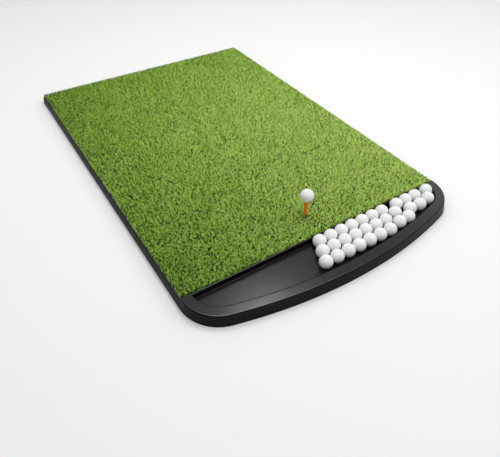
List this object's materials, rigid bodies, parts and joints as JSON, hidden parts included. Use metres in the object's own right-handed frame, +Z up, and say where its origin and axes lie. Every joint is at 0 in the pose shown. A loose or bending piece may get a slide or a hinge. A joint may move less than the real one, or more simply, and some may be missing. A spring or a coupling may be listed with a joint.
{
  "type": "golf hitting mat",
  "caption": "Rectangular artificial-turf hitting mat on a rubber base, with a rubber tee and a bowed, sunken ball tray along the front edge.",
  "frame": {"origin": "on the ground at the middle of the whole object's footprint", "axes": "+Z up, +Y from the ball tray towards the far end of the turf, +X to the right seen from the tray"},
  "size_m": [0.998, 1.5239, 0.1381],
  "materials": {
    "base_rubber": "matt charcoal moulded rubber",
    "foam": "closed-cell foam",
    "turf_backing": "latex-coated woven backing",
    "turf": "short dense artificial grass",
    "socket_rubber": "matt moulded rubber",
    "tray_rubber": "satin black moulded rubber",
    "tee_rubber": "satin orange rubber",
    "golf_ball": "white dimpled cover with a clear coat"
  },
  "bodies": {
    "mat": {"rubber_base": "base_rubber", "foam_pad": "foam", "turf_backing": "turf_backing", "turf_pile": "turf", "tee_socket": "socket_rubber"},
    "tray": {"ball_tray": "tray_rubber"},
    "tee_body": {"tee": "tee_rubber"},
    "teed_ball": {"tee_ball": "golf_ball"},
    "ball_01_body": {"ball_01": "golf_ball"},
    "ball_02_body": {"ball_02": "golf_ball"},
    "ball_03_body": {"ball_03": "golf_ball"},
    "ball_04_body": {"ball_04": "golf_ball"},
    "ball_05_body": {"ball_05": "golf_ball"},
    "ball_06_body": {"ball_06": "golf_ball"},
    "ball_07_body": {"ball_07": "golf_ball"},
    "ball_08_body": {"ball_08": "golf_ball"},
    "ball_09_body": {"ball_09": "golf_ball"},
    "ball_10_body": {"ball_10": "golf_ball"},
    "ball_11_body": {"ball_11": "golf_ball"},
    "ball_12_body": {"ball_12": "golf_ball"},
    "ball_13_body": {"ball_13": "golf_ball"},
    "ball_14_body": {"ball_14": "golf_ball"},
    "ball_15_body": {"ball_15": "golf_ball"},
    "ball_16_body": {"ball_16": "golf_ball"},
    "ball_17_body": {"ball_17": "golf_ball"},
    "ball_18_body": {"ball_18": "golf_ball"},
    "ball_19_body": {"ball_19": "golf_ball"},
    "ball_20_body": {"ball_20": "golf_ball"},
    "ball_21_body": {"ball_21": "golf_ball"},
    "ball_22_body": {"ball_22": "golf_ball"},
    "ball_23_body": {"ball_23": "golf_ball"},
    "ball_24_body": {"ball_24": "golf_ball"},
    "ball_25_body": {"ball_25": "golf_ball"},
    "ball_26_body": {"ball_26": "golf_ball"},
    "ball_27_body": {"ball_27": "golf_ball"},
    "ball_28_body": {"ball_28": "golf_ball"},
    "ball_29_body": {"ball_29": "golf_ball"},
    "ball_30_body": {"ball_30": "golf_ball"},
    "ball_31_body": {"ball_31": "golf_ball"}
  },
  "joints": [
    {"name": "tray_slide", "type": "slide", "parent": "mat", "child": "tray", "axis": [0, -1, 0], "range_m": [0, 0.06]},
    {"name": "tee_pull", "type": "slide", "parent": "mat", "child": "tee_body", "axis": [0, 0, 1], "range_m": [0, 0.034]},
    {"name": "teed_ball_lift", "type": "slide", "parent": "tee_body", "child": "teed_ball", "axis": [0, 0, 1], "range_m": [0, 0.05]},
    {"name": "ball_01_lift", "type": "slide", "parent": "tray", "child": "ball_01_body", "axis": [0, 0, 1], "range_m": [0, 0.05]},
    {"name": "ball_02_lift", "type": "slide", "parent": "tray", "child": "ball_02_body", "axis": [0, 0, 1], "range_m": [0, 0.05]},
    {"name": "ball_03_lift", "type": "slide", "parent": "tray", "child": "ball_03_body", "axis": [0, 0, 1], "range_m": [0, 0.05]},
    {"name": "ball_04_lift", "type": "slide", "parent": "tray", "child": "ball_04_body", "axis": [0, 0, 1], "range_m": [0, 0.05]},
    {"name": "ball_05_lift", "type": "slide", "parent": "tray", "child": "ball_05_body", "axis": [0, 0, 1], "range_m": [0, 0.05]},
    {"name": "ball_06_lift", "type": "slide", "parent": "tray", "child": "ball_06_body", "axis": [0, 0, 1], "range_m": [0, 0.05]},
    {"name": "ball_07_lift", "type": "slide", "parent": "tray", "child": "ball_07_body", "axis": [0, 0, 1], "range_m": [0, 0.05]},
    {"name": "ball_08_lift", "type": "slide", "parent": "tray", "child": "ball_08_body", "axis": [0, 0, 1], "range_m": [0, 0.05]},
    {"name": "ball_09_lift", "type": "slide", "parent": "tray", "child": "ball_09_body", "axis": [0, 0, 1], "range_m": [0, 0.05]},
    {"name": "ball_10_lift", "type": "slide", "parent": "tray", "child": "ball_10_body", "axis": [0, 0, 1], "range_m": [0, 0.05]},
    {"name": "ball_11_lift", "type": "slide", "parent": "tray", "child": "ball_11_body", "axis": [0, 0, 1], "range_m": [0, 0.05]},
    {"name": "ball_12_lift", "type": "slide", "parent": "tray", "child": "ball_12_body", "axis": [0, 0, 1], "range_m": [0, 0.05]},
    {"name": "ball_13_lift", "type": "slide", "parent": "tray", "child": "ball_13_body", "axis": [0, 0, 1], "range_m": [0, 0.05]},
    {"name": "ball_14_lift", "type": "slide", "parent": "tray", "child": "ball_14_body", "axis": [0, 0, 1], "range_m": [0, 0.05]},
    {"name": "ball_15_lift", "type": "slide", "parent": "tray", "child": "ball_15_body", "axis": [0, 0, 1], "range_m": [0, 0.05]},
    {"name": "ball_16_lift", "type": "slide", "parent": "tray", "child": "ball_16_body", "axis": [0, 0, 1], "range_m": [0, 0.05]},
    {"name": "ball_17_lift", "type": "slide", "parent": "tray", "child": "ball_17_body", "axis": [0, 0, 1], "range_m": [0, 0.05]},
    {"name": "ball_18_lift", "type": "slide", "parent": "tray", "child": "ball_18_body", "axis": [0, 0, 1], "range_m": [0, 0.05]},
    {"name": "ball_19_lift", "type": "slide", "parent": "tray", "child": "ball_19_body", "axis": [0, 0, 1], "range_m": [0, 0.05]},
    {"name": "ball_20_lift", "type": "slide", "parent": "tray", "child": "ball_20_body", "axis": [0, 0, 1], "range_m": [0, 0.05]},
    {"name": "ball_21_lift", "type": "slide", "parent": "tray", "child": "ball_21_body", "axis": [0, 0, 1], "range_m": [0, 0.05]},
    {"name": "ball_22_lift", "type": "slide", "parent": "tray", "child": "ball_22_body", "axis": [0, 0, 1], "range_m": [0, 0.05]},
    {"name": "ball_23_lift", "type": "slide", "parent": "tray", "child": "ball_23_body", "axis": [0, 0, 1], "range_m": [0, 0.05]},
    {"name": "ball_24_lift", "type": "slide", "parent": "tray", "child": "ball_24_body", "axis": [0, 0, 1], "range_m": [0, 0.05]},
    {"name": "ball_25_lift", "type": "slide", "parent": "tray", "child": "ball_25_body", "axis": [0, 0, 1], "range_m": [0, 0.05]},
    {"name": "ball_26_lift", "type": "slide", "parent": "tray", "child": "ball_26_body", "axis": [0, 0, 1], "range_m": [0, 0.05]},
    {"name": "ball_27_lift", "type": "slide", "parent": "tray", "child": "ball_27_body", "axis": [0, 0, 1], "range_m": [0, 0.05]},
    {"name": "ball_28_lift", "type": "slide", "parent": "tray", "child": "ball_28_body", "axis": [0, 0, 1], "range_m": [0, 0.05]},
    {"name": "ball_29_lift", "type": "slide", "parent": "tray", "child": "ball_29_body", "axis": [0, 0, 1], "range_m": [0, 0.05]},
    {"name": "ball_30_lift", "type": "slide", "parent": "tray", "child": "ball_30_body", "axis": [0, 0, 1], "range_m": [0, 0.05]},
    {"name": "ball_31_lift", "type": "slide", "parent": "tray", "child": "ball_31_body", "axis": [0, 0, 1], "range_m": [0, 0.05]}
  ]
}
